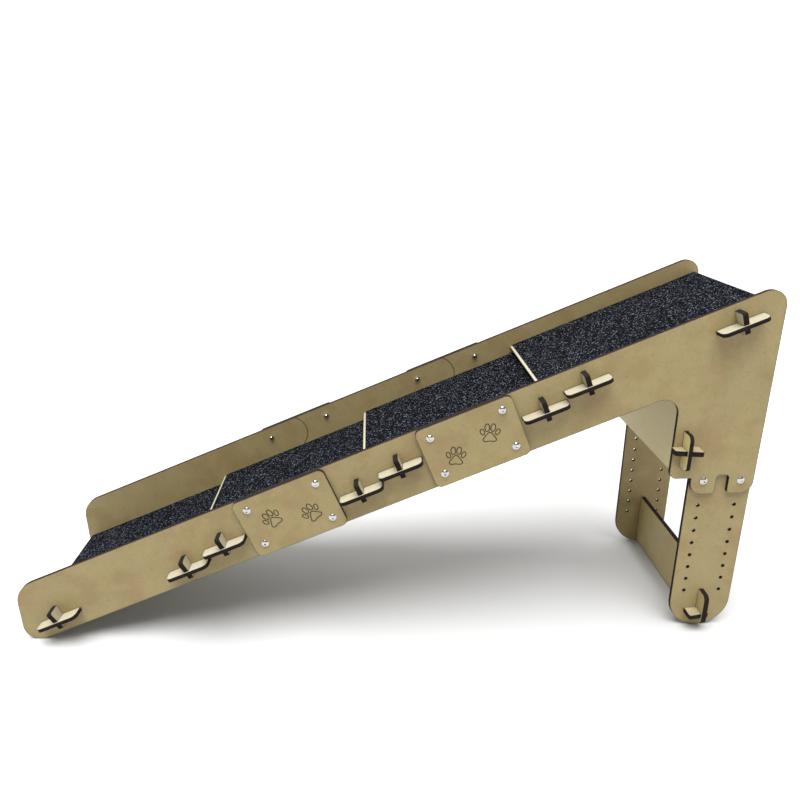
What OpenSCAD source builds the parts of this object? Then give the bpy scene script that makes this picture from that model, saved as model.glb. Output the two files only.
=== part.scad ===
// Pet ramp cut from thin board: four carpeted decks in steps between two side
// panels, and a pair of legs under the high end that slide to ten heights.
// The slope frame has u along the top edge of the side panels, v square to it, and
// u = 0 at the low end of the lowest deck. Y is the ramp's width, with the right side at -Y.

/* [Boards] */
// Thickness of the panels, plates, decks, riser and legs
board_t = 6; // [4:0.5:8]
// Thickness of the heavier board of the wedges and the leg brace
thick_t = 8; // [6:0.5:9]
// Clearance round a tenon in its slot and round a wedge in its tenon
slot_gap = 0.2; // [0.1:0.05:0.4]
// Clearance between a cross board and the faces that it stands between
side_gap = 0.3; // [0.2:0.05:0.5]
// Width over the outer faces of the side panels
ramp_w = 288; // [240:1:400]

/* [Side panels] */
// Height of a side panel, square to the slope
rail_h = 103; // [100:1:130]
// Panel that stands in front of the lowest deck
toe_reach = 6.5; // [3:0.5:20]
// Panel that stands behind the highest deck
heel_reach = 8.5; // [3:0.5:20]
// Radius of the front corner at the top edge
toe_top_r = 45; // [10:1:50]
// Radius of the front corner that rests on the floor
toe_r = 25; // [15:1:30]
// Radius of the rear corner at the top edge
heel_r = 25; // [5:1:30]
// How far the wavy seam between two sections bows to each side
seam_bow = 12.5; // [6:0.5:16]
// Gap along a seam
seam_gap = 0.3; // [0.2:0.05:0.5]

/* [Splice plates] */
// Distance from a splice plate's end to the tenon beside it
plate_end_gap = 4; // [2:0.5:12]
// Corner radius of a splice plate
plate_r = 10; // [3:1:15]
// Distance from a splice plate's edges to its bolts
plate_inset = 19.5; // [14:0.5:25]

/* [Decks] */
// Length of a deck board, along the slope
deck_len = 361; // [330:1:400]
// How far a deck reaches over the one below it, along the slope
deck_lap = 54; // [45:1:60]
// Step from one deck up to the next, square to the slope
deck_step = 14.4; // [13:0.1:15]
// Depth of the highest deck board below the top edge of the side panels
deck_depth = 29.5; // [20:0.5:32]
// Thickness of the carpet on each deck
carpet_t = 2.5; // [1.5:0.1:4]
// Bare strip of board in front of the carpet on every deck but the lowest
bare_strip = 5; // [0:0.5:15]

/* [Tenons and wedges] */
// Length of a deck tenon, along the slope
deck_tenon = 72; // [50:1:80]
// Distance from a deck's ends to the middles of its tenons
tenon_inset = 62.5; // [58:0.5:68]
// How far a tenon stands out of the panel
tenon_out = 23; // [23:0.5:30]
// Radius of a tenon's outer corners
tenon_r = 9; // [2:0.5:12]
// Length of a deck or brace wedge
wedge_len = 35; // [34:1:50]
// How far the head of a deck wedge stands out of its tenon
wedge_head = 19; // [12:1:24]
// Length of the riser's wedge
riser_wedge_len = 43; // [36:1:50]
// How far the head of the riser's wedge stands out of its tenon
riser_wedge_head = 20; // [12:1:24]
// Width of a wedge where it enters its tenon
wedge_w = 19.5; // [14:0.5:19.5]
// Taper of a wedge's outer edge, in degrees
wedge_angle = 10.5; // [4:0.5:12]
// Radius of the outer corner of a wedge's head
wedge_r = 3.5; // [2:0.5:10]
// Radius of the outer corner of a wedge's tail
wedge_tail_r = 2; // [0.5:0.5:4]
// How far the wedge's slot reaches back into the panel, so that the wedge can pull tight
wedge_bite = 1; // [0.5:0.5:2]

/* [Leg bracket] */
// Angle between the legs and the square to the slope; the front and rear edges follow it
leg_angle = 21.9; // [18:0.1:24]
// Distance from the top edge down the rear edge to the leg bolts
bolt_drop = 317; // [300:1:340]
// Distance from the front leg bolt forward to the bracket's front edge
bracket_reach = 57; // [50:1:80]
// Height of the bracket's front foot above the leg bolts
bracket_rise = 5.5; // [2:0.5:15]
// Radius of the bracket's front foot
bracket_r = 12; // [4:1:15]
// Fillet between the bracket and the side panel's bottom edge
bracket_fillet = 24; // [10:1:40]
// How far the bolt lobes reach below the leg bolts
lobe_drop = 23; // [14:0.5:30]
// Radius of the outer corners of the bolt lobes
lobe_r = 20; // [8:1:20]
// Width of the notch between the bolt lobes
notch_w = 20.5; // [14:0.5:24]
// Height of the notch above the leg bolts
notch_rise = 10; // [9:0.5:20]
// Radius of the corners of the notch
notch_r = 6; // [2:0.5:7]

/* [Riser board] */
// Distance from the front leg bolt forward to the middle of the riser board
riser_at = 40; // [36:1:46]
// Height of the middle of the riser's tenon above the leg bolts
riser_tenon_at = 57; // [45:1:120]
// Length of the riser's tenon
riser_tenon = 60; // [40:1:80]
// Gap between the riser's top edge and the deck above it
riser_gap = 0.5; // [0.3:0.1:2]

/* [Legs] */
// Width of a leg
leg_w = 102; // [90:1:108]
// Distance between a leg's two columns of holes
hole_spacing = 60; // [50:1:66]
// Distance between two rows of holes
hole_pitch = 23.35; // [20:0.05:23.5]
// Number of rows of holes
hole_rows = 10; // [4:1:10]
// Number of rows that the legs are pushed up from their highest setting
rows_up = 0; // [0:1:3]
// Distance from the lowest row down to the middle of the round foot
foot_drop = 20; // [5:1:40]
// Leg above its highest row of holes
leg_head = 21; // [10:1:22]

/* [Leg brace] */
// Height of the board between the legs
brace_h = 100; // [80:1:120]
// Distance from the lowest row down to the brace's bottom edge
brace_drop = 68; // [50:1:70]
// Length of the brace's tenon
brace_tenon = 56; // [40:1:60]
// Distance from the lowest row down to the middle of the brace's tenon
brace_tenon_at = 27; // [15:1:30]
// Distance from the lowest row down to the middle of the brace's wedge
brace_wedge_at = 40; // [20:1:42]
// How far the head of the brace's wedge stands out of its tenon
brace_wedge_head = 21; // [12:1:24]

/* [Fasteners] */
// Diameter of a bolt's shank
bolt_d = 5; // [4:0.5:6]
// Clearance round a bolt in its hole
bolt_gap = 0.25; // [0.2:0.05:0.4]
// Diameter of a bolt's head
head_d = 12.5; // [9:0.5:15]
// Height of a bolt's domed head
head_h = 3.4; // [2.5:0.1:5]
// Straight rim of the head below its dome
head_rim = 0.8; // [0.4:0.1:1.2]
// Width across the flats of the head's socket
socket_flats = 3; // [2:0.5:4]
// Depth of the head's socket
socket_depth = 1.8; // [1:0.1:2.2]
// Width across a nut's flats
nut_flats = 8; // [8:0.5:13]
// Thickness of a nut
nut_t = 4; // [3:0.5:6]
// Shank that shows past its nut
bolt_tail = 1.5; // [0.5:0.5:4]

/* [Hidden] */
$fn = 64;
board_colour = [0.70, 0.63, 0.44];
edge_colour = [0.30, 0.23, 0.15];
carpet_colour = [0.17, 0.18, 0.23];
metal_colour = [0.80, 0.81, 0.82];

// Decks, counted from 0 at the low end to the last at the high end: where their low ends,
// middles and top faces lie in the slope frame
last = 3;
deck_pitch = deck_len - deck_lap;
deck_low = [for (i = [0:last]) i * deck_pitch];
deck_mid = [for (u = deck_low) u + deck_len / 2];
deck_face = [for (i = [0:last]) -deck_depth - (last - i) * deck_step];

// Seams lie over the middles of the second and third decks, between their tenons
seams = [deck_mid[1], deck_mid[2]];
seam_r = (pow(rail_h / 4, 2) + pow(seam_bow, 2)) / (2 * seam_bow);
tenon_spacing = deck_len - 2 * tenon_inset;
plate_len = tenon_spacing - deck_tenon - 2 * plate_end_gap;

// Slanted front and rear edges of the side panels, where they meet the top edge
front_u = -toe_reach - deck_face[0] * tan(leg_angle);
rear_u = deck_low[last] + deck_len + heel_reach - deck_face[last] * tan(leg_angle);
blunt = 90 + leg_angle;
sharp = 90 - leg_angle;

// The legs' directions in the slope frame, and the front leg bolt, from which the bracket is set out
across = [cos(leg_angle), -sin(leg_angle)];
upward = [sin(leg_angle), cos(leg_angle)];
leg_margin = (leg_w - hole_spacing) / 2;
leg_rear = hole_spacing + leg_margin;
leg_middle = hole_spacing / 2;
bolt_at = [rear_u, 0] - leg_rear * across - bolt_drop * upward;
leg_drop = (hole_rows - 1 - rows_up) * hole_pitch;
foot_r = leg_w / 2;

// Round corners that touch the floor or the ends of the ramp
toe_top_mid = [front_u + toe_top_r / tan(blunt / 2), -toe_top_r];
toe_mid = [front_u - rail_h * tan(leg_angle) + toe_r / tan(sharp / 2), toe_r - rail_h];
heel_mid = [rear_u - heel_r / tan(sharp / 2), -heel_r];
lobe_mid = from_bolt(leg_rear - lobe_r, lobe_r - lobe_drop);
foot_mid = from_bolt(leg_middle, -leg_drop - foot_drop);

// Slope at which the front corner and the feet stand on one floor
foot_way = foot_mid - toe_mid;
slope = atan2(-foot_way.y, foot_way.x) - asin((toe_r - foot_r) / norm(foot_way));
low_x = min(level(toe_mid).x - toe_r, level(toe_top_mid).x - toe_top_r);
high_x = max(level(heel_mid).x + heel_r, level(lobe_mid).x + lobe_r, level(foot_mid).x + foot_r);
floor_z = level(foot_mid).y - foot_r;

// Riser board, from the bracket's foot to the underside of the highest deck
riser_front = -riser_at - board_t / 2;
riser_low = bracket_rise;
riser_high = above_bolts(deck_face[last] - board_t, riser_front) - riser_gap;

// Point of the slope frame that lies a across and b up from the front leg bolt
function from_bolt(a, b) = bolt_at + a * across + b * upward;
// Point of the slope frame turned level, as [x, z]
function level(p) = [p.x * cos(slope) - p.y * sin(slope), p.x * sin(slope) + p.y * cos(slope)];
// Height above the leg bolts of the level v of the slope frame, a across from the front bolt
function above_bolts(v, a) = (v - bolt_at.y + a * sin(leg_angle)) / cos(leg_angle);
// Unit direction from p to q
function heading(p, q) = (q - p) / norm(q - p);

// Flat outline with round corners, from rows of [x, y, radius] listed anticlockwise
module outline(rows) {
    n = len(rows);
    at = [for (row = rows) [row[0], row[1]]];
    back = [for (i = [0:n - 1]) heading(at[i], at[(i + n - 1) % n])];
    on = [for (i = [0:n - 1]) heading(at[i], at[(i + 1) % n])];
    half = [for (i = [0:n - 1]) acos(back[i] * on[i]) / 2];
    run = [for (i = [0:n - 1]) rows[i][2] / tan(half[i])];
    mid = [for (i = [0:n - 1]) at[i] + rows[i][2] / sin(half[i]) * heading([0, 0], back[i] + on[i])];
    difference() {
        union() {
            polygon([for (i = [0:n - 1]) each
                rows[i][2] > 0 ? [at[i] + run[i] * back[i], at[i] + run[i] * on[i]] : [at[i]]]);
            for (i = [0:n - 1])
                if (rows[i][2] > 0 && cross(on[i], back[i]) > 0)
                    translate(mid[i]) circle(rows[i][2]);
        }
        for (i = [0:n - 1])
            if (rows[i][2] > 0 && cross(on[i], back[i]) < 0)
                translate(mid[i]) circle(rows[i][2]);
    }
}

// Slope frame, set on the floor with the origin under the middle of the ramp
module slope_frame() {
    translate([-(low_x + high_x) / 2, 0, -floor_z]) rotate([0, -slope, 0]) children();
}

// Frame of the leg bolts: X across the legs, Z up them, origin at the front bolt
module bolt_frame() {
    slope_frame() translate([bolt_at.x, 0, bolt_at.y]) rotate([0, leg_angle, 0]) children();
}

// Frame of the legs, with its origin at the front hole of the lowest row
module leg_frame() {
    bolt_frame() translate([0, 0, -leg_drop]) children();
}

// Board on edge: a flat outline stood up, with its outer face depth inside the right side's face
module on_edge(depth) {
    translate([0, depth + board_t - ramp_w / 2, 0]) rotate([90, 0, 0]) linear_extrude(board_t) children();
}

// Puts a right-hand piece on its own side, or mirrors it to the left
module on_side(side) {
    if (side == "left") mirror([0, 1, 0]) children();
    else children();
}

// Half of a seam: a round bow, as tall as half the panel, to one side of the straight line at u
module bow(u, height, side) {
    intersection() {
        translate([u + side * (seam_bow - seam_r), height]) circle(seam_r);
        translate([side > 0 ? u : u - 2 * seam_bow, height - rail_h / 2]) square([2 * seam_bow, rail_h]);
    }
}

// Stretch of the slope's plane from one seam to the next; the first and last stretch are open-ended
module stretch(index) {
    from = index == 0 ? front_u - rail_h : seams[index - 1] + seam_gap;
    to = index == 2 ? rear_u + rail_h : seams[index];
    top_bow = -rail_h / 4;
    low_bow = -rail_h * 3 / 4;
    difference() {
        union() {
            translate([from, -bolt_drop - rail_h]) square([to - from, bolt_drop + 2 * rail_h]);
            if (index < 2) bow(to, top_bow, 1);
            if (index > 0) bow(from, low_bow, -1);
        }
        if (index < 2) bow(to, low_bow, -1);
        if (index > 0) bow(from, top_bow, 1);
    }
}

// Slot for a tenon of the given length and thickness, centred on the origin and lying along X
module tenon_slot(length, thickness) {
    square([length + 2 * slot_gap, thickness + 2 * slot_gap], center = true);
}

// Places of a splice plate's four bolts, from its seam and the panel's top edge
function plate_bolts(index) = [
    for (i = [-1, 1]) for (j = [-1, 1]) [
        seams[index] + i * (plate_len / 2 - plate_inset),
        -rail_h / 2 + j * (rail_h / 2 - plate_inset)
    ]
];

// Whole side panel as cut, before it is parted at its seams
module side_panel() {
    notch_low = leg_middle - notch_w / 2;
    notch_high = leg_middle + notch_w / 2;
    bracket = [
        [-bracket_reach, above_bolts(-rail_h, -bracket_reach), bracket_fillet],
        [-bracket_reach, bracket_rise, bracket_r],
        [-leg_margin, bracket_rise, 0],
        [-leg_margin, -lobe_drop, lobe_r],
        [notch_low, -lobe_drop, notch_r],
        [notch_low, notch_rise, notch_r],
        [notch_high, notch_rise, notch_r],
        [notch_high, -lobe_drop, notch_r],
        [leg_rear, -lobe_drop, lobe_r]
    ];
    difference() {
        outline(concat(
            [[front_u, 0, toe_top_r], [front_u - rail_h * tan(leg_angle), -rail_h, toe_r]],
            [for (row = bracket) let (p = from_bolt(row[0], row[1])) [p.x, p.y, row[2]]],
            [[rear_u, 0, heel_r]]
        ));
        for (i = [0:last]) for (end = [-1, 1])
            translate([deck_mid[i] + end * tenon_spacing / 2, deck_face[i] - board_t / 2])
                tenon_slot(deck_tenon, board_t);
        translate(from_bolt(-riser_at, riser_tenon_at)) rotate(90 - leg_angle)
            tenon_slot(riser_tenon, board_t);
        for (a = [0, hole_spacing]) translate(from_bolt(a, 0)) circle(bolt_d / 2 + bolt_gap);
        for (index = [0, 1]) for (p = plate_bolts(index)) translate(p) circle(bolt_d / 2 + bolt_gap);
    }
}

// One of the three sections that a side panel is cut into, so that the ramp packs flat
module side_section(side, index) {
    color(board_colour) on_side(side) slope_frame() on_edge(0) intersection() {
        side_panel();
        stretch(index);
    }
}

// Plate outside a seam, as tall as the panel and bolted to the two sections that meet there
module splice_plate(side, index) {
    color(board_colour) on_side(side) slope_frame() on_edge(-board_t) difference() {
        outline([
            [seams[index] - plate_len / 2, -rail_h, plate_r],
            [seams[index] + plate_len / 2, -rail_h, plate_r],
            [seams[index] + plate_len / 2, 0, plate_r],
            [seams[index] - plate_len / 2, 0, plate_r]
        ]);
        for (p = plate_bolts(index)) translate(p) circle(bolt_d / 2 + bolt_gap);
    }
}

// Board across the ramp, drawn lying flat with its length along X and its lower face at Z = 0.
// Its tenons pass through the boards whose outer faces lie at +face and -face along Y, and are
// slotted for the wedges that lock them.
module cross_board(length, thickness, tenon_mids, tenon_len, wedge_mids, face) {
    half_w = face - board_t - side_gap;
    tip = face + tenon_out;
    slot_len = wedge_bite + wedge_w + slot_gap;
    linear_extrude(thickness) difference() {
        union() {
            translate([0, -half_w]) square([length, 2 * half_w]);
            for (mid = tenon_mids) outline([
                [mid - tenon_len / 2, -tip, tenon_r],
                [mid + tenon_len / 2, -tip, tenon_r],
                [mid + tenon_len / 2, tip, tenon_r],
                [mid - tenon_len / 2, tip, tenon_r]
            ]);
        }
        for (mid = wedge_mids) for (end = [-1, 1])
            translate([mid, end * (face - wedge_bite + slot_len / 2)])
                square([thick_t + 2 * slot_gap, slot_len], center = true);
    }
}

// Deck board, counted from 0 at the low end
module deck(i) {
    mids = [tenon_inset, deck_len - tenon_inset];
    color(board_colour) slope_frame() translate([deck_low[i], 0, deck_face[i] - board_t])
        cross_board(deck_len, board_t, mids, deck_tenon, mids, ramp_w / 2);
}

// Carpet glued on a deck
module carpet(i) {
    bare = i == 0 ? 0 : bare_strip;
    width = ramp_w - 2 * board_t - 2 * side_gap;
    color(carpet_colour) slope_frame() translate([deck_low[i] + bare, -width / 2, deck_face[i]])
        cube([deck_len - bare, width, carpet_t]);
}

// Board that closes the front of the leg bracket and ties the side panels together
module riser_board() {
    mids = [riser_tenon_at - riser_low];
    color(board_colour) bolt_frame() translate([riser_front + board_t, 0, riser_low]) rotate([0, -90, 0])
        cross_board(riser_high - riser_low, board_t, mids, riser_tenon, mids, ramp_w / 2);
}

// Tapered wedge for a tenon on the right side. Its straight edge bears on the panel's face at
// Y = 0, its head points along +Z and the tenon's face that it is driven through lies at Z = 0.
module wedge(head, length) {
    tail = head - length;
    head_w = wedge_w + head * tan(wedge_angle);
    tail_w = wedge_w + tail * tan(wedge_angle);
    color(edge_colour) translate([-thick_t / 2, 0, 0]) rotate([90, 0, 90]) linear_extrude(thick_t)
        outline([[0, tail, 0], [0, head, 0], [-head_w, head, wedge_r], [-tail_w, tail, wedge_tail_r]]);
}

// Wedge through a deck's tenon, counted from 1 at the low end of the ramp
module deck_wedge(side, number) {
    i = floor((number - 1) / 2);
    end = number % 2 == 1 ? -1 : 1;
    on_side(side) slope_frame()
        translate([deck_mid[i] + end * tenon_spacing / 2, -ramp_w / 2, deck_face[i]])
            wedge(wedge_head, wedge_len);
}

// Wedge through the riser's tenon, driven in from behind
module riser_wedge(side) {
    on_side(side) bolt_frame() translate([riser_front + board_t, -ramp_w / 2, riser_tenon_at])
        rotate([0, 90, 0]) wedge(riser_wedge_head, riser_wedge_len);
}

// Wedge through the leg brace's tenon, driven in from the front
module brace_wedge(side) {
    on_side(side) leg_frame()
        translate([leg_middle - thick_t / 2, board_t - ramp_w / 2, -brace_wedge_at])
            rotate([0, -90, 0]) wedge(brace_wedge_head, wedge_len);
}

// Leg with a round foot and two columns of holes; it slides up inside the side panel
module leg(side) {
    color(board_colour) on_side(side) leg_frame() on_edge(board_t) difference() {
        union() {
            translate([-leg_margin, -foot_drop])
                square([leg_w, foot_drop + (hole_rows - 1) * hole_pitch + leg_head]);
            translate([leg_middle, -foot_drop]) circle(foot_r);
        }
        for (a = [0, hole_spacing]) for (row = [0:hole_rows - 1])
            translate([a, row * hole_pitch]) circle(bolt_d / 2 + bolt_gap);
        translate([leg_middle, -brace_tenon_at]) rotate(90) tenon_slot(brace_tenon, thick_t);
    }
}

// Board that ties the two legs together
module leg_brace() {
    tenon_mids = [brace_drop - brace_tenon_at];
    wedge_mids = [brace_drop - brace_wedge_at];
    color(board_colour) leg_frame() translate([leg_middle + thick_t / 2, 0, -brace_drop])
        rotate([0, -90, 0])
            cross_board(brace_h, thick_t, tenon_mids, brace_tenon, wedge_mids, ramp_w / 2 - board_t);
}

// Bolt through two boards, with its head's seat at Z = 0 and its shank down to -Z
module bolt() {
    reach = 2 * board_t + nut_t + bolt_tail;
    dome_h = head_h - head_rim;
    dome_r = (pow(head_d / 2, 2) + pow(dome_h, 2)) / (2 * dome_h);
    translate([0, 0, -reach]) cylinder(d = bolt_d, h = reach);
    difference() {
        intersection() {
            cylinder(d = head_d, h = head_h);
            translate([0, 0, head_h - dome_r]) sphere(dome_r);
        }
        translate([0, 0, head_h - socket_depth])
            cylinder(d = socket_flats / cos(30), h = 2 * socket_depth, $fn = 6);
    }
}

// Hexagon nut on a bolt that goes through two boards
module nut() {
    translate([0, 0, -2 * board_t - nut_t]) difference() {
        cylinder(d = nut_flats / cos(30), h = nut_t, $fn = 6);
        translate([0, 0, -nut_t / 2]) cylinder(d = bolt_d + slot_gap, h = 2 * nut_t);
    }
}

// Sets bolts or nuts at the corners of the two splice plates on one side
module at_plates(side) {
    color(metal_colour) on_side(side) slope_frame()
        for (index = [0, 1]) for (p = plate_bolts(index))
            translate([p.x, -ramp_w / 2 - board_t, p.y]) rotate([90, 0, 0]) children();
}

// Sets bolts or nuts at the bracket's two leg holes on one side
module at_legs(side) {
    color(metal_colour) on_side(side) bolt_frame()
        for (a = [0, hole_spacing]) translate([a, -ramp_w / 2, 0]) rotate([90, 0, 0]) children();
}

side_section("right", 0);  // right_side_lower
side_section("right", 1);  // right_side_middle
side_section("right", 2);  // right_side_upper
side_section("left", 0);  // left_side_lower
side_section("left", 1);  // left_side_middle
side_section("left", 2);  // left_side_upper
splice_plate("right", 0);  // right_splice_lower
splice_plate("right", 1);  // right_splice_upper
splice_plate("left", 0);  // left_splice_lower
splice_plate("left", 1);  // left_splice_upper
deck(0);  // deck_1
deck(1);  // deck_2
deck(2);  // deck_3
deck(3);  // deck_4
carpet(0);  // carpet_1
carpet(1);  // carpet_2
carpet(2);  // carpet_3
carpet(3);  // carpet_4
deck_wedge("right", 1);  // right_wedge_1
deck_wedge("right", 2);  // right_wedge_2
deck_wedge("right", 3);  // right_wedge_3
deck_wedge("right", 4);  // right_wedge_4
deck_wedge("right", 5);  // right_wedge_5
deck_wedge("right", 6);  // right_wedge_6
deck_wedge("right", 7);  // right_wedge_7
deck_wedge("right", 8);  // right_wedge_8
deck_wedge("left", 1);  // left_wedge_1
deck_wedge("left", 2);  // left_wedge_2
deck_wedge("left", 3);  // left_wedge_3
deck_wedge("left", 4);  // left_wedge_4
deck_wedge("left", 5);  // left_wedge_5
deck_wedge("left", 6);  // left_wedge_6
deck_wedge("left", 7);  // left_wedge_7
deck_wedge("left", 8);  // left_wedge_8
riser_board();
riser_wedge("right");  // right_riser_wedge
riser_wedge("left");  // left_riser_wedge
leg("right");  // right_leg
leg("left");  // left_leg
leg_brace();
brace_wedge("right");  // right_brace_wedge
brace_wedge("left");  // left_brace_wedge
at_plates("right") bolt();  // right_splice_bolts
at_plates("left") bolt();  // left_splice_bolts
at_plates("right") nut();  // right_splice_nuts
at_plates("left") nut();  // left_splice_nuts
at_legs("right") bolt();  // right_leg_bolts
at_legs("left") bolt();  // left_leg_bolts
at_legs("right") nut();  // right_leg_nuts
at_legs("left") nut();  // left_leg_nuts
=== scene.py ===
# A pet ramp of laser-cut fibreboard: four carpeted decks between two side panels, locked with
# wedges, on a pair of legs that bolt on at ten heights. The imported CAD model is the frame; this
# script gives its boards their finish, lays the carpets, engraves the splice plates, makes the
# fasteners, and sets the ramp on a pale floor in soft light. Lengths are in metres.
import math

import bmesh
import bpy
from mathutils import Matrix, Vector, noise


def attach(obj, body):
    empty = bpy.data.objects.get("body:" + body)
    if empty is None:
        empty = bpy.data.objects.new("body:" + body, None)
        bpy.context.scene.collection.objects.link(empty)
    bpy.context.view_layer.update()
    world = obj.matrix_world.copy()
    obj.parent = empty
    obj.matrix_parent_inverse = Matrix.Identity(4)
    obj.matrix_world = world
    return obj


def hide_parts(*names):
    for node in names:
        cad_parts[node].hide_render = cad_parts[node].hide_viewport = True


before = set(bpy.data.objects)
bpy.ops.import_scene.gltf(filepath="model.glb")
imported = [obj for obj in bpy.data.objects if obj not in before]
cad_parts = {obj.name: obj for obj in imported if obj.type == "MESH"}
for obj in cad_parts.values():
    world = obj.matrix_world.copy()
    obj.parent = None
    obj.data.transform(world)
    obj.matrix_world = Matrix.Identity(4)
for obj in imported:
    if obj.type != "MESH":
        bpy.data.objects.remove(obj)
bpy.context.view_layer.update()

# Side panels.
# Each is cut from 6 mm fibreboard in three sections, so that the ramp packs flat. The faces are a
# mottled tan with brown flecks. The laser chars every cut edge, with a thin brown line beside it.
SIDES = {"right": -1, "left": 1}
BOARD_TAN = (0.274, 0.211, 0.104, 1)
BOARD_OLIVE = (0.224, 0.186, 0.084, 1)
BOARD_WARM = (0.212, 0.143, 0.064, 1)
# Paler tone mixed into the decks and wedges: partly a paler sheet, partly painted light and sheen
# on their lit tops and faces.
BOARD_PALE_AND_LIT = (0.350, 0.325, 0.250, 1)
FLECK_BROWN = (0.150, 0.098, 0.042, 1)
CHAR_BLACK = (0.003, 0.002, 0.002, 1)
CHAR_BROWN = (0.016, 0.009, 0.006, 1)
PATCHES_PER_METRE = 19
CLOUDS_PER_METRE = 34
FLECKS_PER_METRE = 330
FIBRES_PER_METRE = 420
STREAKS_PER_METRE = 1500
TONE_RANGE = (0.36, 0.64)
PATCH_RANGE = (0.46, 0.62)
FLECK_RANGE = (0.62, 0.72)
STREAK_RANGE = (0.40, 0.70)
PATCH_SHARE = 0.5
FLECK_SHARE = 0.5
SCORCH_SHARE = 0.9
SCORCH_WIDTH = 0.002
SCORCH_GAIN = 6
SCORCH_STOPS = ((0.0, 0.0), (0.2, 0.6), (0.8, 1.0), (1.0, 1.0))
EDGE_FACING = 0.7
BOARD_ROUGHNESS = 0.36
FIBRE_ROUGHNESS = 0.1
CHAR_ROUGHNESS = 0.54
BOARD_SPECULAR = 0.22
GRAIN_STRENGTH = 0.35
GRAIN_HEIGHT = 0.0001


class Value:
    """A value in a tree of shader nodes. Arithmetic on it adds Math nodes."""

    def __init__(self, tree, socket):
        self.tree, self.socket = tree, socket

    def math(self, operation, *terms):
        node = self.tree.nodes.new("ShaderNodeMath")
        node.operation = operation
        for socket, term in zip(node.inputs, terms):
            if isinstance(term, Value):
                self.tree.links.new(term.socket, socket)
            else:
                socket.default_value = term
        return Value(self.tree, node.outputs[0])

    def __add__(self, other):
        return self.math("ADD", self, other)

    def __sub__(self, other):
        return self.math("SUBTRACT", self, other)

    def __rsub__(self, other):
        return self.math("SUBTRACT", other, self)

    def __mul__(self, other):
        return self.math("MULTIPLY", self, other)

    def __pow__(self, other):
        return self.math("POWER", self, other)

    def __gt__(self, other):
        return self.math("GREATER_THAN", self, other)

    def __lt__(self, other):
        return self.math("LESS_THAN", self, other)

    def __abs__(self):
        return self.math("ABSOLUTE", self)

    def either(self, other):
        return self.math("MAXIMUM", self, other)

    __radd__ = __add__


class Finish:
    """The nodes of a material or a world, added one by one and ending in its shader."""

    def __init__(self, owner, shader="Principled BSDF"):
        owner.use_nodes = True
        self.owner, self.tree = owner, owner.node_tree
        self.shader = self.tree.nodes[shader]

    def node(self, kind, settings, inputs, output):
        """Adds a node of that type: its settings first, then the values or links of its sockets."""
        node = self.tree.nodes.new(kind)
        for key, value in settings.items():
            if key == "stops":
                for place, shade in value:
                    found = [e for e in node.color_ramp.elements if abs(e.position - place) < 1e-6]
                    stop = found[0] if found else node.color_ramp.elements.new(place)
                    stop.color = (shade, shade, shade, 1)
            else:
                setattr(node, key, value)
        for key, value in inputs.items():
            self.plug(next(s for s in node.inputs if key in (s.identifier, s.name)), value)
        return Value(self.tree, next(s for s in node.outputs if output in (s.identifier, s.name)))

    def plug(self, socket, value):
        if isinstance(value, Value):
            self.tree.links.new(value.socket, socket)
        else:
            socket.default_value = value

    def shade(self, **sockets):
        """Sets the shader's sockets, with _ for a space in their names."""
        for name, value in sockets.items():
            self.plug(self.shader.inputs[name.replace("_", " ")], value)

    def place(self, kind="Object"):
        return self.node("ShaderNodeTexCoord", {}, {}, kind)

    def axis(self, vector, name):
        return self.node("ShaderNodeSeparateXYZ", {}, {"Vector": vector}, name)

    def vector(self, operation, first, second, output="Vector"):
        return self.node("ShaderNodeVectorMath", {"operation": operation}, {
            "Vector": first, "Vector_001": second}, output)

    def noise(self, place, scale, detail, roughness=0.6):
        return self.node("ShaderNodeTexNoise", {}, {
            "Vector": place, "Scale": scale, "Detail": detail, "Roughness": roughness}, "Fac")

    def ramp(self, value, *stops):
        """Turns a value into a grey, from (value, grey) stops."""
        return self.node("ShaderNodeValToRGB", {"stops": stops}, {"Fac": value}, "Color")

    def step(self, value, low, high):
        """Rises from 0 to 1 while the value goes from low to high."""
        return self.ramp(value, (0.0, 0.0), (low, 0.0), (high, 1.0), (1.0, 1.0))

    def mix(self, share, first, second):
        return self.node("ShaderNodeMix", {"data_type": "RGBA"}, {
            "Factor_Float": share, "A_Color": first, "B_Color": second}, "Result_Color")

    def bump(self, height, strength, distance):
        return self.node("ShaderNodeBump", {}, {
            "Strength": strength, "Distance": distance, "Height": height}, "Normal")


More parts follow.
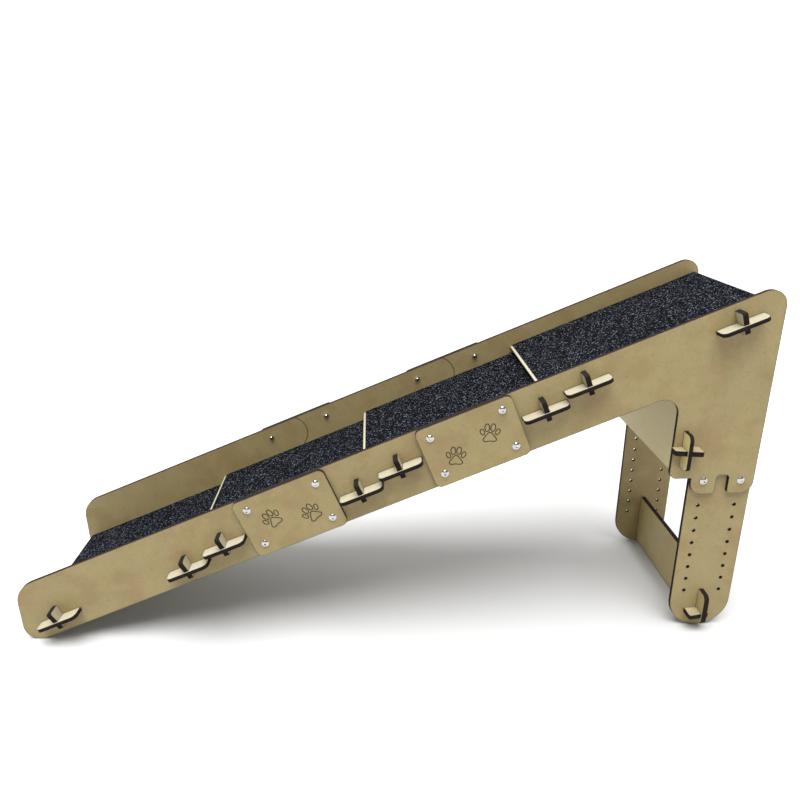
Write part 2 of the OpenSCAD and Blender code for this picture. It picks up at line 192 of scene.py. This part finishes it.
def board_finish(name, square, pale=0.0, pale_and_lit_colour=BOARD_PALE_AND_LIT, engraved=None):
    """Fibreboard whose faces lie square to a direction; its other faces are charred edges."""
    f = Finish(bpy.data.materials.new(name))
    place = f.place()
    normal = f.node("ShaderNodeNewGeometry", {}, {}, "True Normal")
    burnt = abs(f.vector("DOT_PRODUCT", normal, square, "Value")) < EDGE_FACING
    if engraved:
        burnt = burnt.either(engraved(f, place))
    soft_normal = f.node("ShaderNodeBevel", {"samples": 6}, {"Radius": SCORCH_WIDTH}, "Normal")
    near_edge = 1 - f.vector("DOT_PRODUCT", normal, soft_normal, "Value")
    scorch = f.ramp(near_edge * SCORCH_GAIN, *SCORCH_STOPS)

    fibre = f.noise(place, FIBRES_PER_METRE, 3, 0.7)
    cloud = f.noise(place, CLOUDS_PER_METRE, 3)
    tone = f.step(cloud * 0.5 + fibre * 0.5, *TONE_RANGE)
    patch = f.step(f.noise(place, PATCHES_PER_METRE, 3), *PATCH_RANGE)
    fleck = f.step(f.noise(place, FLECKS_PER_METRE, 2), *FLECK_RANGE)
    face = f.mix(tone, BOARD_OLIVE, BOARD_TAN)
    face = f.mix(patch * PATCH_SHARE, face, BOARD_WARM)
    # Mixes in the pale colour by the pale share: partly a paler board, partly painted light.
    face = f.mix(pale, face, pale_and_lit_colour)
    face = f.mix(fleck * FLECK_SHARE, face, FLECK_BROWN)
    face = f.mix(scorch * SCORCH_SHARE, face, CHAR_BROWN)

    flattened = f.vector("MULTIPLY", place, tuple(1 - abs(c) for c in square))
    streak = f.noise(flattened, STREAKS_PER_METRE, 2)
    char = f.mix(f.step(streak, *STREAK_RANGE), CHAR_BLACK, CHAR_BROWN)

    f.shade(Base_Color=f.mix(burnt, face, char), Specular_IOR_Level=BOARD_SPECULAR,
            Roughness=BOARD_ROUGHNESS + burnt * CHAR_ROUGHNESS + fibre * FIBRE_ROUGHNESS,
            Normal=f.bump(fibre + streak * burnt, GRAIN_STRENGTH, GRAIN_HEIGHT))
    return f.owner


def dress(nodes, material):
    for name in nodes:
        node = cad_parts[name]
        node.data.materials.clear()
        node.data.materials.append(material)


dress([f"{side}_side_{part}" for side in SIDES for part in ("lower", "middle", "upper")],
      board_finish("side_board", (0, 1, 0)))

# Splice plates.
# Plates of the same board, bolted outside each seam by their four corners. The laser engraves a
# pair of paw prints on each, as thin burnt lines; the upper plate's pair mirrors the lower one's.
SLOPE = math.radians(23.0264)
ON_SLOPE = Matrix.Translation((-0.61543185, 0, 0.0896218)) @ Matrix.Rotation(-SLOPE, 4, "Y")
BOARD = 0.006
HALF_WIDTH = 0.144
PLATE_MIDDLES = {"lower": 0.4875, "upper": 0.7945}
PLATE_LENGTH = 0.156
PLATE_HEIGHT = 0.103
PLATE_DROP = PLATE_HEIGHT / 2
PLATE_CORNER = 0.010
CORNER_STEPS = 10
BOLT_SPREAD = (0.0585, 0.032)
BOLT_HOLE = 0.00275
HOLE_SIDES = 40
LINE = 0.001
LINE_DEPTH = 0.0004
# Each toe's middle, half width, half height and tilt in degrees, round the middle of the paw
TOES = ((-0.0045, 0.0080, 0.0041, 0.0067, -4), (0.0045, 0.0080, 0.0041, 0.0067, 4),
        (-0.0117, 0.0010, 0.0036, 0.0056, -24), (0.0117, 0.0010, 0.0036, 0.0056, 24))
TOE_SIDES = 28
PAD_RADIUS = 0.0165
PAD_DROP = 0.0088
PAD_SQUASH = 0.8
PAD_HOLLOW = 0.003
PAD_BEVEL = 0.0092
BEVEL_STEPS = 8
TOUCHING = 0.001
PAW_MIDDLES = ((-0.029, 0.0055), (0.032, -0.0097))
PAW_TILT = math.radians(22)


def pick(piece):
    """Makes a piece the only selected one."""
    bpy.ops.object.select_all(action="DESELECT")
    piece.select_set(True)
    bpy.context.view_layer.objects.active = piece


def apply_place():
    bpy.ops.object.transform_apply(location=True, rotation=True, scale=True)


def finish_piece(piece, name, material, body):
    """Names a piece, applies its place and gives it its material and body."""
    pick(piece)
    apply_place()
    piece.name = piece.data.name = name
    piece.data.materials.clear()
    piece.data.materials.append(material)
    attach(piece, body)


def copied(pattern):
    """A copy of a piece, with a mesh of its own."""
    piece = pattern.copy()
    piece.data = pattern.data.copy()
    bpy.context.scene.collection.objects.link(piece)
    return piece


def cut(piece, cutter, operation="DIFFERENCE"):
    """Cuts a piece with another, which is used up."""
    change = piece.modifiers.new("cut", "BOOLEAN")
    change.operation, change.solver, change.object = operation, "EXACT", cutter
    pick(piece)
    bpy.ops.object.modifier_apply(modifier=change.name)
    bpy.data.objects.remove(cutter)


def ring_from_face():
    """Turns the flat face being edited into the cutter of a line round it."""
    bpy.ops.mesh.select_all(action="SELECT")
    bpy.ops.mesh.inset(thickness=LINE)
    bpy.ops.mesh.delete(type="FACE")
    bpy.ops.mesh.select_all(action="SELECT")
    bpy.ops.mesh.extrude_region_move(TRANSFORM_OT_translate={"value": (0, 0, 2 * LINE_DEPTH)})
    bpy.ops.mesh.select_all(action="SELECT")
    bpy.ops.mesh.normals_make_consistent(inside=False)
    bpy.ops.object.mode_set(mode="OBJECT")


def outwards(side):
    """Turns a piece made lying down so that its own Z points out of the ramp on that side."""
    turn = Matrix.Rotation(math.radians(90), 4, "X")
    return turn if side == "right" else Matrix.Rotation(math.radians(180), 4, "Z") @ turn


def engraving(f, place):
    """Where the laser has gone below a plate's outer face, but not its inner one."""
    height = abs(f.axis(place, "Y")) - HALF_WIDTH
    return (height > LINE_DEPTH / 2) * (height < BOARD - LINE_DEPTH / 2)


bpy.ops.object.select_all(action="DESELECT")
rings = []
for x, y, half_width, half_height, tilt in TOES:
    bpy.ops.mesh.primitive_circle_add(vertices=TOE_SIDES, radius=1, fill_type="NGON",
                                      location=(x, y, -LINE_DEPTH))
    toe = bpy.context.object
    toe.scale = (half_width, half_height, 1)
    toe.rotation_euler = (0, 0, math.radians(-tilt))
    apply_place()
    bpy.ops.object.mode_set(mode="EDIT")
    ring_from_face()
    rings.append(toe)

bpy.ops.mesh.primitive_circle_add(vertices=3, radius=PAD_RADIUS, fill_type="NGON",
                                  location=(0, 0, -LINE_DEPTH))
pad = bpy.context.object
bpy.ops.object.mode_set(mode="EDIT")
edit = bmesh.from_edit_mesh(pad.data)
foot = min(v.co.y for v in edit.verts) + TOUCHING
for e in edit.edges:
    e.select = all(v.co.y < foot for v in e.verts)
bmesh.update_edit_mesh(pad.data)
bpy.ops.mesh.subdivide(number_cuts=1)
for hollow in (False, True):
    edit = bmesh.from_edit_mesh(pad.data)
    for v in edit.verts:
        v.select = (v.co.y < foot and abs(v.co.x) < TOUCHING) == hollow
    edit.select_flush_mode()
    bmesh.update_edit_mesh(pad.data)
    if hollow:
        bpy.ops.transform.translate(value=(0, PAD_HOLLOW / 2, 0))
    reach = PAD_HOLLOW if hollow else PAD_BEVEL
    bpy.ops.mesh.bevel(offset=reach, segments=BEVEL_STEPS, affect="VERTICES")
bpy.ops.mesh.select_all(action="SELECT")
bpy.ops.transform.resize(value=(1, PAD_SQUASH, 1), center_override=(0, 0, 0))
bpy.ops.object.mode_set(mode="OBJECT")
pad.location.y = -PAD_DROP
apply_place()
bpy.ops.object.mode_set(mode="EDIT")
ring_from_face()

for ring in rings:
    ring.select_set(True)
bpy.ops.object.join()
paw = bpy.context.object

plate_finish = board_finish("plate_board", (0, 1, 0), engraved=engraving)
for side, face in SIDES.items():
    for part, middle in PLATE_MIDDLES.items():
        bpy.ops.object.select_all(action="DESELECT")
        bpy.ops.mesh.primitive_cube_add(size=1, location=(0, 0, BOARD / 2))
        plate = bpy.context.object
        plate.scale = (PLATE_LENGTH, PLATE_HEIGHT, BOARD)
        apply_place()
        bpy.ops.object.mode_set(mode="EDIT")
        bpy.ops.mesh.select_all(action="DESELECT")
        bpy.ops.mesh.select_mode(type="EDGE")
        edit = bmesh.from_edit_mesh(plate.data)
        for e in edit.edges:
            a, b = (v.co for v in e.verts)
            e.select = abs(a.z - b.z) > BOARD / 2
        bmesh.update_edit_mesh(plate.data)
        bpy.ops.mesh.bevel(offset=PLATE_CORNER, segments=CORNER_STEPS, affect="EDGES")
        bpy.ops.object.mode_set(mode="OBJECT")
        mirror = -face if part == "lower" else face
        for x, y in PAW_MIDDLES:
            cutter = copied(paw)
            cutter.matrix_world = (Matrix.Translation((mirror * x, y, BOARD))
                                   @ Matrix.Rotation(mirror * PAW_TILT, 4, "Z"))
            cut(plate, cutter)
        for i in (-1, 1):
            for j in (-1, 1):
                bpy.ops.object.select_all(action="DESELECT")
                bpy.ops.mesh.primitive_cylinder_add(
                    vertices=HOLE_SIDES, radius=BOLT_HOLE, depth=3 * BOARD,
                    location=(i * BOLT_SPREAD[0], j * BOLT_SPREAD[1], 0))
                cut(plate, bpy.context.object)
        plate.matrix_world = ON_SLOPE @ Matrix.Translation(
            (middle, face * HALF_WIDTH, -PLATE_DROP)) @ outwards(side)
        finish_piece(plate, f"{side}_plate_{part}", plate_finish, "ramp")
        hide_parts(f"{side}_splice_{part}")
bpy.data.objects.remove(paw)

# Decks and the wedges that lock them.
# Four boards across the ramp, each a step above the last. Their colour is partly a paler sheet,
# partly painted light: the sheen and brightness of light from above on their tops. Their tenons
# pass through the side panels, and a tapered wedge through each tenon pulls the panel tight.
ALONG = (math.cos(SLOPE), 0, math.sin(SLOPE))
SQUARE = (-math.sin(SLOPE), 0, math.cos(SLOPE))
dress([f"deck_{i}" for i in range(1, 5)], board_finish("deck_board", SQUARE, pale=0.8))
# The wedges take the pale colour too: partly a paler board, partly painted light on their lit
# faces.
dress([f"{side}_wedge_{i}" for side in SIDES for i in range(1, 9)],
      board_finish("deck_wedge_board", ALONG, pale=0.7))

# Carpets.
# Flat needle felt, near black with blue-grey specks, cut to the deck and glued down. It stops
# 5 mm short of the step on the upper three decks, which leaves a bare strip of board.
CARPET_WIDTH = 0.2754
CARPET = 0.0025
DECK_LENGTH = 0.361
DECK_PITCH = 0.307
BARE_STRIP = 0.005
DECK_TOPS = (-0.0727, -0.0583, -0.0439, -0.0295)
GRID_ALONG, GRID_ACROSS = 150, 116
PILE = 0.0004
LUMPS_PER_METRE = 310
LUMP_SHIFT = 40
RIM_WIDTH = 0.003
RIM_DROP = 0.0008
FELT_BLACK = (0.0007, 0.0008, 0.0011, 1)
FELT_GREY = (0.0020, 0.0024, 0.0034, 1)
FELT_SPECK = (0.130, 0.143, 0.176, 1)
FELT_ROUGHNESS = 0.95
FELT_SPECULAR = 0.03
TUFTS_PER_METRE = 560
TUFT_RANGE = (0.40, 0.62)
TUFT_STRENGTH = 0.8
TUFT_HEIGHT = 0.0006
SPECKS_PER_METRE = 640
SPECK_RARITY = 14

f = Finish(bpy.data.materials.new("needle_felt"))
place = f.place()
tuft = f.noise(place, TUFTS_PER_METRE, 2, 0.7)
cells = f.node("ShaderNodeTexVoronoi", {}, {"Vector": place, "Scale": SPECKS_PER_METRE}, "Color")
speck = f.axis(cells, "X") ** SPECK_RARITY
ground = f.mix(f.step(tuft, *TUFT_RANGE), FELT_BLACK, FELT_GREY)
f.shade(Base_Color=f.mix(speck, ground, FELT_SPECK), Roughness=FELT_ROUGHNESS,
        Specular_IOR_Level=FELT_SPECULAR, Normal=f.bump(tuft + speck, TUFT_STRENGTH, TUFT_HEIGHT))
for i, top in enumerate(DECK_TOPS):
    bare = 0 if i == 0 else BARE_STRIP
    length = DECK_LENGTH - bare
    bpy.ops.object.select_all(action="DESELECT")
    bpy.ops.mesh.primitive_grid_add(x_subdivisions=GRID_ALONG, y_subdivisions=GRID_ACROSS, size=1)
    carpet = bpy.context.object
    carpet.scale = (length, CARPET_WIDTH, 1)
    apply_place()
    bpy.ops.object.mode_set(mode="EDIT")
    edit = bmesh.from_edit_mesh(carpet.data)
    for v in edit.verts:
        from_rim = min(length / 2 - abs(v.co.x), CARPET_WIDTH / 2 - abs(v.co.y))
        spot = (v.co.x * LUMPS_PER_METRE + LUMP_SHIFT * i, v.co.y * LUMPS_PER_METRE, 0)
        lump = noise.noise(Vector(spot))
        v.co.z = -PILE * (0.5 + 0.5 * lump) - RIM_DROP * max(0, 1 - from_rim / RIM_WIDTH) ** 2
    bmesh.update_edit_mesh(carpet.data)
    bpy.ops.mesh.select_all(action="DESELECT")
    bpy.ops.mesh.select_non_manifold(
        extend=False, use_wire=False, use_boundary=True, use_multi_face=False,
        use_non_contiguous=False, use_verts=False)
    bpy.ops.mesh.extrude_edges_move(TRANSFORM_OT_translate={"value": (0, 0, -CARPET)})
    edit = bmesh.from_edit_mesh(carpet.data)
    for v in edit.verts:
        if v.select:
            v.co.z = -CARPET
    bmesh.update_edit_mesh(carpet.data)
    bpy.ops.mesh.edge_face_add()
    bpy.ops.mesh.select_all(action="SELECT")
    bpy.ops.mesh.normals_make_consistent(inside=False)
    bpy.ops.object.mode_set(mode="OBJECT")
    carpet.matrix_world = ON_SLOPE @ Matrix.Translation(
        (i * DECK_PITCH + bare + length / 2, 0, top + CARPET))
    finish_piece(carpet, f"deck_carpet_{i + 1}", f.owner, "ramp")
    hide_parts(f"carpet_{i + 1}")

# Riser board and its wedges.
# A board on edge that closes the front of the leg brackets below the highest deck. A tenon on each
# side passes through the bracket, and a wedge locks it there.
LEG_ANGLE = math.radians(21.9)
LEAN = SLOPE - LEG_ANGLE
ACROSS = (math.cos(LEAN), 0, math.sin(LEAN))
UP = (-math.sin(LEAN), 0, math.cos(LEAN))
# The riser's face is paler and brighter than the panels: partly the board's paler face, partly
# painted light from the left falling on its front.
RISER_PALE_AND_LIT = (0.480, 0.400, 0.185, 1)
# The upright wedges take a share of the pale colour, and with it some painted light.
upright_wedge = board_finish("upright_wedge_board", UP, pale=0.4)
dress(["riser_board"], board_finish("riser_board_face", ACROSS, pale=0.9, pale_and_lit_colour=RISER_PALE_AND_LIT))
dress([f"{side}_riser_wedge" for side in SIDES], upright_wedge)

# Legs, their brace and its wedges.
# Two boards with a row of holes down each edge, which slide inside the brackets and are bolted
# there. A thicker board joins them near their round feet, with a wedged tenon on each side.
dress([f"{side}_leg" for side in SIDES], board_finish("leg_board", (0, 1, 0)))
# The brace takes a little of the riser's tint, and so a little of its painted light.
dress(["leg_brace"], board_finish("brace_board", ACROSS, pale=0.3, pale_and_lit_colour=RISER_PALE_AND_LIT))
dress([f"{side}_brace_wedge" for side in SIDES], upright_wedge)

# Bolts and nuts.
# Plated steel M5 bolts through two boards, with a button head, a hex socket and a rolled thread,
# and chamfered nuts on the inner faces. Each is turned to an angle of its own, as fitted by hand.
BOLT_RADIUS = 0.0025
BOLT_TAIL = 0.0015
BOLT_SIDES = 36
THREAD_PITCH = 0.0008
THREAD_DEPTH = 0.0004
THREAD_TURNS = 9
HEAD_RADIUS = 0.00625
HEAD_RIM = 0.0008
HEAD_HEIGHT = 0.0034
HEAD_EDGE = 0.0003
DOME_STEPS = 8
SOCKET_FLATS = 0.003
SOCKET_DEPTH = 0.0018
SOCKET_POINT = 0.0005
NUT_FLATS = 0.008
NUT_HEIGHT = 0.004
NUT_SIDES = 48
CHAMFER = 0.0004
BORE_PLAY = 0.0001
BORE_FLARE = 0.0005
HAIR = 0.0001
BOLT_REACH = 2 * BOARD + NUT_HEIGHT + BOLT_TAIL
ON_LEGS = (ON_SLOPE @ Matrix.Translation((1.10897, 0, -0.263912))
           @ Matrix.Rotation(LEG_ANGLE, 4, "Y"))
LEG_HOLES = (0, 0.060)
HAND_TURN = 2.4
SMOOTH_UNDER = math.radians(30)
NICKEL_CLEAN = (0.62, 0.62, 0.63, 1)
NICKEL_DULL = (0.46, 0.45, 0.43, 1)
NICKEL_ROUGHNESS = 0.08
SMUDGE_ROUGHNESS = 0.16
SMUDGES_PER_METRE = 260
SCRATCHES_PER_METRE = 2600
SCRATCH_STRENGTH = 0.05
SCRATCH_HEIGHT = 0.00002


def turned(profile, sides):
    """A piece turned about Z from (radius, height) steps, closed flat at both ends."""
    bpy.ops.object.select_all(action="DESELECT")
    bpy.ops.mesh.primitive_circle_add(vertices=sides, radius=profile[0][0], fill_type="NGON",
                                      location=(0, 0, profile[0][1]))
    apply_place()
    bpy.ops.object.mode_set(mode="EDIT")
    bpy.ops.mesh.select_all(action="SELECT")
    for (old_radius, old_height), (radius, height) in zip(profile, profile[1:]):
        rise, grow = height - old_height, radius / old_radius
        bpy.ops.mesh.extrude_region_move(TRANSFORM_OT_translate={"value": (0, 0, rise)})
        bpy.ops.transform.resize(value=(grow, grow, 1), center_override=(0, 0, 0))
    bpy.ops.mesh.select_all(action="SELECT")
    bpy.ops.mesh.normals_make_consistent(inside=False)
    bpy.ops.object.mode_set(mode="OBJECT")
    return bpy.context.object


def hex_corner(flats):
    return flats / 2 / math.cos(math.radians(30))


profile = [(BOLT_RADIUS - THREAD_DEPTH, -BOLT_REACH)]
for k in range(THREAD_TURNS):
    profile += [(BOLT_RADIUS, (k + 0.5) * THREAD_PITCH - BOLT_REACH),
                (BOLT_RADIUS - THREAD_DEPTH, (k + 1) * THREAD_PITCH - BOLT_REACH)]
profile += [(BOLT_RADIUS, (THREAD_TURNS + 0.5) * THREAD_PITCH - BOLT_REACH), (BOLT_RADIUS, 0),
            (HEAD_RADIUS - HEAD_EDGE, 0), (HEAD_RADIUS, HEAD_EDGE)]
dome_height = HEAD_HEIGHT - HEAD_RIM
dome_radius = (HEAD_RADIUS ** 2 + dome_height ** 2) / (2 * dome_height)
dome_angle = math.asin(HEAD_RADIUS / dome_radius)
for k in range(DOME_STEPS):
    angle = dome_angle * (1 - k / DOME_STEPS)
    profile.append((dome_radius * math.sin(angle),
                    HEAD_HEIGHT - dome_radius * (1 - math.cos(angle))))
bolt = turned(profile, BOLT_SIDES)
socket_corner, socket_floor = hex_corner(SOCKET_FLATS), HEAD_HEIGHT - SOCKET_DEPTH
cut(bolt, turned([(socket_corner / 2, socket_floor - SOCKET_POINT), (socket_corner, socket_floor),
                  (socket_corner, 2 * HEAD_HEIGHT)], 6))

nut_corner = hex_corner(NUT_FLATS)
nut_face = NUT_FLATS / 2 - HAIR
bore = BOLT_RADIUS + BORE_PLAY
low, high = -2 * BOARD - NUT_HEIGHT, -2 * BOARD
nut = turned([(nut_corner, low), (nut_corner, high)], 6)
cut(nut, turned([(nut_face, low), (nut_corner, low + CHAMFER),
                 (nut_corner, high - CHAMFER), (nut_face, high)], NUT_SIDES), "INTERSECT")
cut(nut, turned([(bore + BORE_FLARE, low - HAIR), (bore, low + CHAMFER),
                 (bore, high - CHAMFER), (bore + BORE_FLARE, high + HAIR)], BOLT_SIDES))
for pattern in (bolt, nut):
    pick(pattern)
    bpy.ops.object.shade_smooth_by_angle(angle=SMOOTH_UNDER)

f = Finish(bpy.data.materials.new("nickel_plate"))
place = f.place()
smudge = f.noise(place, SMUDGES_PER_METRE, 3)
scratch = f.noise(place, SCRATCHES_PER_METRE, 1, 0.5)
f.shade(Base_Color=f.mix(smudge, NICKEL_CLEAN, NICKEL_DULL), Metallic=1.0,
        Roughness=NICKEL_ROUGHNESS + smudge * SMUDGE_ROUGHNESS,
        Normal=f.bump(scratch, SCRATCH_STRENGTH, SCRATCH_HEIGHT))
for side, face in SIDES.items():
    outer = face * (HALF_WIDTH + BOARD)
    on_plates = [ON_SLOPE @ Matrix.Translation(
        (middle + i * BOLT_SPREAD[0], outer, j * BOLT_SPREAD[1] - PLATE_DROP))
        for middle in PLATE_MIDDLES.values() for i in (-1, 1) for j in (-1, 1)]
    on_bracket = [ON_LEGS @ Matrix.Translation((a, face * HALF_WIDTH, 0)) for a in LEG_HOLES]
    for group, seats in (("splice", on_plates), ("leg", on_bracket)):
        for kind, pattern in (("bolt", bolt), ("nut", nut)):
            for k, seat in enumerate(seats):
                fitted = copied(pattern)
                fitted.matrix_world = seat @ outwards(side) @ Matrix.Rotation(k * HAND_TURN, 4, "Z")
                finish_piece(fitted, f"{side}_{group}_{kind}_{k + 1}", f.owner,
                             "ramp")
                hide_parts(f"{side}_{group}_{kind}s")
for pattern in (bolt, nut):
    bpy.data.objects.remove(pattern)

# Floor, light and camera.
# A wide pale floor that sweeps up all round, under a broad soft lamp and a sky that is dim low
# down, and further up behind the camera, which stands where the photograph was taken.
FLOOR_SIZE = 24
SWEEP_HEIGHT = 24
SWEEP_SPREAD = 4.3
FLOOR_GREY = (0.44, 0.44, 0.438, 1)
FLOOR_ROUGHNESS = 0.9
SKY_STRENGTH = 1.55
SKY_LIFT = 0.7
SKY_STOPS = ((0.0, 0.06), (0.66, 0.06), (0.86, 1.0), (1.0, 1.0))
LAMP_PLACE = (-0.15, -0.27, 1.2)
LAMP_STRENGTH = 6.5
LAMP_ANGLE = math.radians(50)
EYE = (-0.0207964, -1.0855728, 0.7688829)
LOOK = (0.04429145, 0.93687305, -0.34685323)
RIGHT = (0.99900977, -0.0430001, 0.01142256)
SENSOR_MM = 36
LENS_MM = 30.4378

bpy.ops.object.select_all(action="DESELECT")
bpy.ops.mesh.primitive_plane_add(size=FLOOR_SIZE, location=(0, 0, 0))
floor = bpy.context.object
floor.name = "floor"
bpy.ops.object.mode_set(mode="EDIT")
bpy.ops.mesh.select_mode(type="EDGE")
bpy.ops.mesh.select_all(action="SELECT")
bpy.ops.mesh.extrude_edges_move(TRANSFORM_OT_translate={"value": (0, 0, SWEEP_HEIGHT)})
bpy.ops.transform.resize(value=(SWEEP_SPREAD, SWEEP_SPREAD, 1), center_override=(0, 0, 0))
bpy.ops.object.mode_set(mode="OBJECT")
f = Finish(bpy.data.materials.new("pale_floor"))
f.shade(Base_Color=FLOOR_GREY, Roughness=FLOOR_ROUGHNESS)
floor.data.materials.append(f.owner)

bpy.context.scene.world = bpy.data.worlds.new("studio")
sky = Finish(bpy.context.scene.world, "Background")
way = sky.place("Generated")
height = sky.axis(way, "Z") + sky.axis(way, "Y").either(0) * SKY_LIFT
sky.shade(Color=sky.ramp(height, *SKY_STOPS), Strength=SKY_STRENGTH)

lamp = bpy.data.lights.new("overhead", "SUN")
lamp.energy = LAMP_STRENGTH
lamp.angle = LAMP_ANGLE
holder = bpy.data.objects.new("overhead", lamp)
holder.location = LAMP_PLACE
holder.rotation_euler = (-Vector(LAMP_PLACE)).to_track_quat("-Z", "Y").to_euler()
bpy.context.scene.collection.objects.link(holder)

camera = bpy.data.cameras.new("camera")
camera.sensor_width = SENSOR_MM
camera.lens = LENS_MM
eye = bpy.data.objects.new("camera", camera)
look = Vector(LOOK).normalized()
right = Vector(RIGHT)
right = (right - look * right.dot(look)).normalized()
eye.matrix_world = Matrix.Translation(EYE) @ Matrix(
    (right, right.cross(look), -look)).transposed().to_4x4()
bpy.context.scene.collection.objects.link(eye)
bpy.context.scene.camera = eye
bpy.context.scene.view_settings.view_transform = "Standard"
